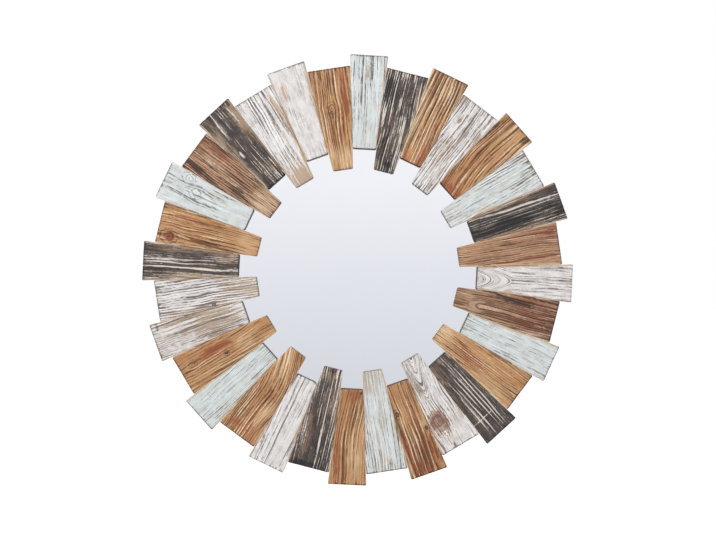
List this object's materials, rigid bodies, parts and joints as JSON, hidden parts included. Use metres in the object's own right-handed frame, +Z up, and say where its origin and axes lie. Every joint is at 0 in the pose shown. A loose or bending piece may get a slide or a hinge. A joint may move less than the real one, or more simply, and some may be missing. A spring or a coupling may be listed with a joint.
{
  "type": "round wall mirror",
  "caption": "Round wall mirror framed by tapered reclaimed-timber staves that fan out in steps, in brown, white, pale blue and charcoal, with strap hangers behind.",
  "frame": {"origin": "where the mirror's axis meets the plane of the wall, 6 mm behind the mounting ring", "axes": "+Z up as it hangs, -Y out of the mirror's face, +Y into the wall"},
  "size_m": [0.713, 0.0319, 0.7142],
  "materials": {
    "timber_honey": "brushed bare timber, honey brown",
    "timber_brown": "brushed timber, dark red-brown stain",
    "timber_white_wash": "brushed timber, worn white paint",
    "timber_blue_wash": "brushed timber, worn pale blue paint",
    "timber_charcoal_wash": "brushed timber, worn charcoal paint",
    "fibreboard": "raw medium-density fibreboard",
    "mirror_glass": "silvered float glass, ground edge",
    "packing_card": "corrugated card",
    "hardboard": "tempered hardboard",
    "zinc_steel": "bright zinc plate",
    "rubber": "matt black rubber"
  },
  "bodies": {
    "frame": {"stave_01": "timber_blue_wash", "stave_02": "timber_charcoal_wash", "stave_03": "timber_honey", "stave_04": "timber_white_wash", "stave_05": "timber_honey", "stave_06": "timber_blue_wash", "stave_07": "timber_charcoal_wash", "stave_08": "timber_brown", "stave_09": "timber_white_wash", "stave_10": "timber_brown", "stave_11": "timber_blue_wash", "stave_12": "timber_honey", "stave_13": "timber_charcoal_wash", "stave_14": "timber_white_wash", "stave_15": "timber_brown", "stave_16": "timber_blue_wash", "stave_17": "timber_honey", "stave_18": "timber_charcoal_wash", "stave_19": "timber_white_wash", "stave_20": "timber_honey", "stave_21": "timber_blue_wash", "stave_22": "timber_honey", "stave_23": "timber_white_wash", "stave_24": "timber_white_wash", "stave_25": "timber_charcoal_wash", "stave_26": "timber_honey", "stave_27": "timber_blue_wash", "stave_28": "timber_brown", "stave_29": "timber_charcoal_wash", "stave_30": "timber_white_wash", "stave_31": "timber_white_wash", "stave_32": "timber_honey", "mounting_ring": "fibreboard", "mirror_glass": "mirror_glass", "packing_sheet": "packing_card", "back_panel": "hardboard", "stave_brads": "zinc_steel", "panel_screws": "zinc_steel", "strap_screws": "zinc_steel", "hanger_strap_left": "zinc_steel", "hanger_strap_right": "zinc_steel", "wall_bumpers": "rubber"},
    "loop_left": {"hanger_loop_left": "zinc_steel"},
    "loop_right": {"hanger_loop_right": "zinc_steel"}
  },
  "joints": [
    {"name": "loop_left_swing", "type": "hinge", "parent": "frame", "child": "loop_left", "pos_m": [-0.23199, -0.00305, 0.14635], "axis": [1, 0, 0], "range_deg": [0, 180]},
    {"name": "loop_right_swing", "type": "hinge", "parent": "frame", "child": "loop_right", "pos_m": [0.23199, -0.00305, 0.14635], "axis": [1, 0, 0], "range_deg": [0, 180]}
  ]
}
